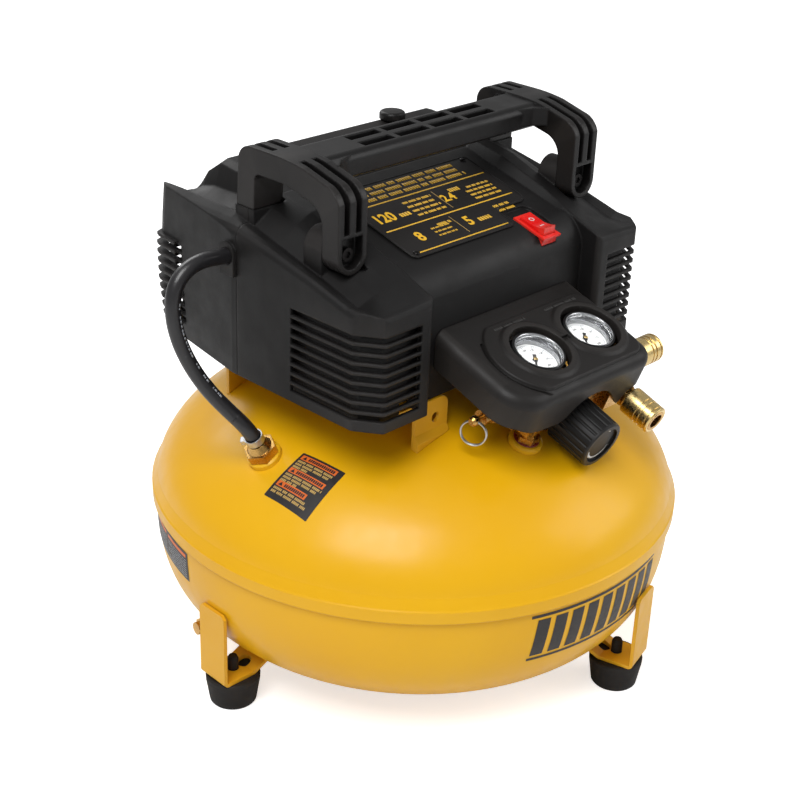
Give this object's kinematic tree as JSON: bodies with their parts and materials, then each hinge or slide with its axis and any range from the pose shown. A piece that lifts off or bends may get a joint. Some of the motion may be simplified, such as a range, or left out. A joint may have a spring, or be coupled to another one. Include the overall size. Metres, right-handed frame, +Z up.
{
  "type": "pancake air compressor",
  "caption": "Portable air compressor: flat round tank on strap legs, shrouded belt-driven pump, fixed carry handle, tilted console with gauges, regulator and quick couplers.",
  "frame": {"origin": "on the ground under the centre of the tank", "axes": "+Z up, -Y towards the console at the front, +X towards the side coupler"},
  "size_m": [0.4199, 0.42, 0.421],
  "materials": {
    "tank_yellow": "satin powder coat",
    "saddle_paint": "satin powder coat",
    "zinc": "zinc plated",
    "steel": "machined",
    "brass": "machined",
    "foot_rubber": "moulded",
    "shroud_black": "fine grain moulded",
    "handle_black": "satin moulded",
    "plate_print": "printed plate",
    "rear_print": "printed plate",
    "switch_black": "moulded",
    "rocker_red": "polished",
    "cast_alloy": "sand blasted casting",
    "iron": "machined casting",
    "knob_black": "ribbed moulding",
    "gauge_case": "moulded",
    "dial_white": "printed dial",
    "needle_black": "enamel",
    "lens_clear": "clear",
    "hose_black": "extruded",
    "cord_black": "jacketed cable"
  },
  "bodies": {
    "chassis": {"tank_upper_shell": "tank_yellow", "tank_lower_shell": "tank_yellow", "tank_bungs": "tank_yellow", "leg_brackets": "tank_yellow", "rubber_feet": "foot_rubber", "saddle_brackets": "saddle_paint", "drain_valve_body": "brass", "front_shroud": "shroud_black", "rear_shroud": "shroud_black", "carry_handle": "handle_black", "handle_screws": "zinc", "rating_plate": "plate_print", "switch_housing": "switch_black", "intake_filter_cap": "shroud_black", "cord_strain_relief": "cord_black", "pump_frame": "cast_alloy", "frame_screws": "zinc", "frame_isolators": "foot_rubber", "crank_bearing": "steel", "cylinder": "cast_alloy", "valve_plate": "steel", "cylinder_head": "cast_alloy", "drive_belt": "hose_black", "motor_stator": "iron", "manifold_block": "brass", "regulator_body": "brass", "front_coupler_body": "brass", "side_coupler_body": "brass", "tank_gauge_case": "gauge_case", "tank_gauge_dial": "dial_white", "tank_gauge_lens": "lens_clear", "outlet_gauge_case": "gauge_case", "outlet_gauge_dial": "dial_white", "outlet_gauge_lens": "lens_clear", "pressure_switch": "switch_black", "safety_valve_body": "brass", "console_cover": "shroud_black", "manifold_nipple": "brass", "delivery_hose": "hose_black", "check_valve": "brass", "hose_clamp": "steel", "rear_plate": "rear_print", "power_cord": "cord_black", "mains_plug": "cord_black"},
    "rocker": {"switch_rocker": "rocker_red"},
    "knob": {"regulator_knob": "knob_black"},
    "tank_needle": {"tank_gauge_needle": "needle_black"},
    "outlet_needle": {"outlet_gauge_needle": "needle_black"},
    "front_sleeve": {"front_coupler_sleeve": "brass"},
    "side_sleeve": {"side_coupler_sleeve": "brass"},
    "relief_stem": {"safety_valve_stem": "brass"},
    "relief_ring": {"pull_ring": "steel"},
    "drain_screw": {"drain_valve_screw": "brass"},
    "crank": {"crankshaft": "steel", "crank_pulley": "iron"},
    "motor": {"motor_rotor": "steel", "motor_pulley": "steel", "cooling_fan": "switch_black"},
    "piston": {"piston_rod": "cast_alloy"}
  },
  "joints": [
    {"name": "rocker_tilt", "type": "hinge", "parent": "chassis", "child": "rocker", "pos_m": [0.054, -0.06414, 0.34561], "axis": [1, 0, 0], "range_deg": [0, 16]},
    {"name": "knob_turn", "type": "hinge", "parent": "chassis", "child": "knob", "pos_m": [0.0143, -0.15244, 0.22428], "axis": [0, -0.9397, -0.342], "range_deg": [0, 720]},
    {"name": "tank_needle_turn", "type": "hinge", "parent": "chassis", "child": "tank_needle", "pos_m": [-0.0123, -0.12483, 0.27764], "axis": [0, 0.342, -0.9397], "range_deg": [0, 264]},
    {"name": "outlet_needle_turn", "type": "hinge", "parent": "chassis", "child": "outlet_needle", "pos_m": [0.0452, -0.12483, 0.27764], "axis": [0, 0.342, -0.9397], "range_deg": [0, 264]},
    {"name": "front_sleeve_pull", "type": "slide", "parent": "chassis", "child": "front_sleeve", "axis": [0, 0.9397, 0.342], "range_m": [0, 0.0025]},
    {"name": "side_sleeve_pull", "type": "slide", "parent": "chassis", "child": "side_sleeve", "axis": [-1, 0, 0], "range_m": [0, 0.0025]},
    {"name": "relief_pull", "type": "slide", "parent": "chassis", "child": "relief_stem", "axis": [-1, 0, 0], "range_m": [0, 0.003]},
    {"name": "ring_swing", "type": "hinge", "parent": "relief_stem", "child": "relief_ring", "pos_m": [-0.0625, -0.11407, 0.24165], "axis": [-0.436, 0.9, 0], "range_deg": [-12, 12]},
    {"name": "drain_turn", "type": "hinge", "parent": "chassis", "child": "drain_screw", "pos_m": [-0.1974, 0.02774, 0.058], "axis": [-0.9903, 0.1392, 0], "range_deg": [0, 540]},
    {"name": "motor_spin", "type": "hinge", "parent": "chassis", "child": "motor", "pos_m": [0, 0.085, 0.305], "axis": [1, 0, 0], "continuous": true},
    {"name": "crank_spin", "type": "hinge", "parent": "chassis", "child": "crank", "pos_m": [0, 0.02, 0.305], "axis": [1, 0, 0], "continuous": true},
    {"name": "piston_stroke", "type": "slide", "parent": "chassis", "child": "piston", "axis": [0, -1, 0], "range_m": [-0.011, 0.011]}
  ],
  "couplings": [
    {"joint": "crank_spin", "follows": "motor_spin", "ratio": 0.25}
  ]
}
